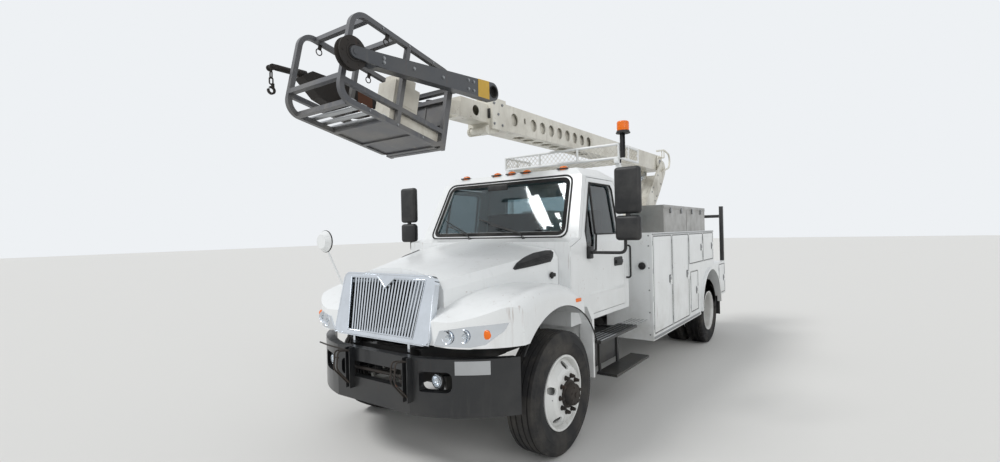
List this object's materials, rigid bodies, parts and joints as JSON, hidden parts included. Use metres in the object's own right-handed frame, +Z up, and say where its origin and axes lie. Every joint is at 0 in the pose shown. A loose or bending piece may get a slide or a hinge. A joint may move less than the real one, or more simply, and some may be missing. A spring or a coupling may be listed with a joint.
{
  "type": "cable placer truck",
  "caption": "Two-axle service truck with a slewing riser, telescopic boom and open work platform with a cable side arm, lockers, tilting hood and opening doors.",
  "frame": {"origin": "on the ground under the middle of the truck's overall box", "axes": "+X forward, +Y left, +Z up"},
  "size_m": [7.6392, 3.13, 3.4277],
  "materials": {
    "white_paint": "gloss white enamel, weathered",
    "black_paint": "satin black",
    "cast_iron": "dark cast and forged steel",
    "glass": "lightly tinted",
    "interior": "moulded grey-black",
    "aluminium": "mill finish",
    "stainless": "brushed",
    "amber": "clear amber",
    "chrome": "bright",
    "galvanised": "worn grey",
    "tyre": "black rubber"
  },
  "bodies": {
    "chassis": {"frame": "black_paint", "front_axle": "black_paint", "rear_axle": "black_paint", "engine": "cast_iron", "front_bumper": "black_paint", "cab_shell": "white_paint", "cab_glass": "glass", "cab_interior": "interior", "battery_step": "black_paint", "fuel_tank": "aluminium", "body_side_left": "white_paint", "body_side_right": "white_paint", "body_deck": "white_paint", "top_boxes": "stainless", "cab_guard": "white_paint", "beacon": "amber"},
    "hood": {"hood": "white_paint", "grille": "chrome", "headlamps": "glass"},
    "turret": {"turret": "white_paint"},
    "riser": {"riser": "white_paint"},
    "lift_barrel": {"lift_barrel": "white_paint"},
    "lift_rod": {"lift_rod": "chrome"},
    "elbow_link": {"elbow_link": "white_paint"},
    "boom_outer": {"boom_outer": "white_paint"},
    "boom_inner": {"boom_inner": "white_paint"},
    "platform": {"basket": "galvanised", "console": "white_paint", "side_arm": "black_paint", "jib": "cast_iron"},
    "sheave": {"sheave": "cast_iron"},
    "hook": {"hook": "cast_iron"},
    "knuckle_left": {"knuckle_left": "cast_iron"},
    "front_wheel_left": {"front_wheel_left": "white_paint", "front_tyre_left": "tyre"},
    "rear_wheel_left": {"rear_wheel_left": "white_paint", "rear_tyres_left": "tyre"},
    "door_left": {"door_left": "white_paint", "door_glass_left": "glass", "mirror_left": "black_paint"},
    "locker_front_left": {"locker_front_left": "white_paint"},
    "locker_middle_left": {"locker_middle_left": "white_paint"},
    "locker_over_wheel_left": {"locker_over_wheel_left": "white_paint"},
    "locker_rear_upper_left": {"locker_rear_upper_left": "white_paint"},
    "locker_narrow_left": {"locker_narrow_left": "white_paint"},
    "locker_rear_lower_left": {"locker_rear_lower_left": "white_paint"},
    "knuckle_right": {"knuckle_right": "cast_iron"},
    "front_wheel_right": {"front_wheel_right": "white_paint", "front_tyre_right": "tyre"},
    "rear_wheel_right": {"rear_wheel_right": "white_paint", "rear_tyres_right": "tyre"},
    "door_right": {"door_right": "white_paint", "door_glass_right": "glass", "mirror_right": "black_paint"},
    "locker_front_right": {"locker_front_right": "white_paint"},
    "locker_middle_right": {"locker_middle_right": "white_paint"},
    "locker_over_wheel_right": {"locker_over_wheel_right": "white_paint"},
    "locker_rear_upper_right": {"locker_rear_upper_right": "white_paint"},
    "locker_narrow_right": {"locker_narrow_right": "white_paint"},
    "locker_rear_lower_right": {"locker_rear_lower_right": "white_paint"}
  },
  "joints": [
    {"name": "steer_left", "type": "hinge", "parent": "chassis", "child": "knuckle_left", "pos_m": [2.2076, 0.96, 0.505], "axis": [0, 0, 1], "range_deg": [-35, 35]},
    {"name": "roll_front_left", "type": "hinge", "parent": "knuckle_left", "child": "front_wheel_left", "pos_m": [2.2076, 1.04, 0.505], "axis": [0, 1, 0], "continuous": true},
    {"name": "roll_rear_left", "type": "hinge", "parent": "chassis", "child": "rear_wheel_left", "pos_m": [-2.5924, 0.885, 0.505], "axis": [0, 1, 0], "continuous": true},
    {"name": "door_swing_left", "type": "hinge", "parent": "chassis", "child": "door_left", "pos_m": [1.7886, 1.025, 1.6], "axis": [0, 0, -1], "range_deg": [0, 70]},
    {"name": "locker_front_swing_left", "type": "hinge", "parent": "chassis", "child": "locker_front_left", "pos_m": [0.0766, 1.199, 1.2], "axis": [0, 0, -1], "range_deg": [0, 90]},
    {"name": "locker_middle_swing_left", "type": "hinge", "parent": "chassis", "child": "locker_middle_left", "pos_m": [-0.6564, 1.199, 1.2], "axis": [0, 0, -1], "range_deg": [0, 90]},
    {"name": "locker_over_wheel_swing_left", "type": "hinge", "parent": "chassis", "child": "locker_over_wheel_left", "pos_m": [-1.4284, 1.199, 1.2], "axis": [0, 0, -1], "range_deg": [0, 90]},
    {"name": "locker_rear_upper_swing_left", "type": "hinge", "parent": "chassis", "child": "locker_rear_upper_left", "pos_m": [-2.2034, 1.199, 1.2], "axis": [0, 0, -1], "range_deg": [0, 90]},
    {"name": "locker_narrow_swing_left", "type": "hinge", "parent": "chassis", "child": "locker_narrow_left", "pos_m": [-1.4734, 1.199, 1.2], "axis": [0, 0, -1], "range_deg": [0, 90]},
    {"name": "locker_rear_lower_swing_left", "type": "hinge", "parent": "chassis", "child": "locker_rear_lower_left", "pos_m": [-3.2284, 1.199, 1.2], "axis": [0, 0, -1], "range_deg": [0, 90]},
    {"name": "steer_right", "type": "hinge", "parent": "chassis", "child": "knuckle_right", "pos_m": [2.2076, -0.96, 0.505], "axis": [0, 0, 1], "range_deg": [-35, 35]},
    {"name": "roll_front_right", "type": "hinge", "parent": "knuckle_right", "child": "front_wheel_right", "pos_m": [2.2076, -1.04, 0.505], "axis": [0, 1, 0], "continuous": true},
    {"name": "roll_rear_right", "type": "hinge", "parent": "chassis", "child": "rear_wheel_right", "pos_m": [-2.5924, -0.885, 0.505], "axis": [0, 1, 0], "continuous": true},
    {"name": "door_swing_right", "type": "hinge", "parent": "chassis", "child": "door_right", "pos_m": [1.7886, -1.025, 1.6], "axis": [0, 0, 1], "range_deg": [0, 70]},
    {"name": "locker_front_swing_right", "type": "hinge", "parent": "chassis", "child": "locker_front_right", "pos_m": [0.0766, -1.199, 1.2], "axis": [0, 0, 1], "range_deg": [0, 90]},
    {"name": "locker_middle_swing_right", "type": "hinge", "parent": "chassis", "child": "locker_middle_right", "pos_m": [-0.6564, -1.199, 1.2], "axis": [0, 0, 1], "range_deg": [0, 90]},
    {"name": "locker_over_wheel_swing_right", "type": "hinge", "parent": "chassis", "child": "locker_over_wheel_right", "pos_m": [-1.4284, -1.199, 1.2], "axis": [0, 0, 1], "range_deg": [0, 90]},
    {"name": "locker_rear_upper_swing_right", "type": "hinge", "parent": "chassis", "child": "locker_rear_upper_right", "pos_m": [-2.2034, -1.199, 1.2], "axis": [0, 0, 1], "range_deg": [0, 90]},
    {"name": "locker_narrow_swing_right", "type": "hinge", "parent": "chassis", "child": "locker_narrow_right", "pos_m": [-1.4734, -1.199, 1.2], "axis": [0, 0, 1], "range_deg": [0, 90]},
    {"name": "locker_rear_lower_swing_right", "type": "hinge", "parent": "chassis", "child": "locker_rear_lower_right", "pos_m": [-3.2284, -1.199, 1.2], "axis": [0, 0, 1], "range_deg": [0, 90]},
    {"name": "hood_tilt", "type": "hinge", "parent": "chassis", "child": "hood", "pos_m": [3.1276, 0, 0.95], "axis": [0, 1, 0], "range_deg": [0, 50]},
    {"name": "turret_slew", "type": "hinge", "parent": "chassis", "child": "turret", "pos_m": [-2.3924, 0, 1.59], "axis": [0, 0, 1], "range_deg": [-325, 12]},
    {"name": "riser_lift", "type": "hinge", "parent": "turret", "child": "riser", "pos_m": [-2.3924, 0, 1.88], "axis": [0, 1, 0], "range_deg": [0, 60]},
    {"name": "barrel_swing", "type": "hinge", "parent": "turret", "child": "lift_barrel", "pos_m": [-1.9624, 0, 1.8], "axis": [0, 1, 0], "range_deg": [0, 50.94]},
    {"name": "rod_slide", "type": "slide", "parent": "lift_barrel", "child": "lift_rod", "axis": [-0.7024, 0, 0.7118], "range_m": [-0.3845, 0]},
    {"name": "elbow_level", "type": "hinge", "parent": "riser", "child": "elbow_link", "pos_m": [-3.4924, 0, 2.95], "axis": [0, 1, 0], "range_deg": [-60, 0]},
    {"name": "boom_luff", "type": "hinge", "parent": "elbow_link", "child": "boom_outer", "pos_m": [-3.4124, 0, 3.06], "axis": [0, -1, 0], "range_deg": [0, 70]},
    {"name": "boom_extend", "type": "slide", "parent": "boom_outer", "child": "boom_inner", "axis": [1, 0, 0], "range_m": [0, 3.6]},
    {"name": "platform_level", "type": "hinge", "parent": "boom_inner", "child": "platform", "pos_m": [2.3576, 0, 3.02], "axis": [0, -1, 0], "range_deg": [-70, 0]},
    {"name": "sheave_spin", "type": "hinge", "parent": "platform", "child": "sheave", "pos_m": [3.7076, 0.4375, 3.06], "axis": [0, 1, 0], "continuous": true},
    {"name": "hook_swing", "type": "hinge", "parent": "platform", "child": "hook", "pos_m": [3.7676, -0.45, 3.14], "axis": [0, 1, 0], "range_deg": [-45, 45]}
  ],
  "couplings": [
    {"joint": "steer_right", "follows": "steer_left", "ratio": 1},
    {"joint": "barrel_swing", "follows": "riser_lift", "ratio": 0.8324},
    {"joint": "rod_slide", "follows": "riser_lift", "m_per_rad": -0.3624},
    {"joint": "elbow_level", "follows": "riser_lift", "ratio": -1},
    {"joint": "platform_level", "follows": "boom_luff", "ratio": -1}
  ]
}
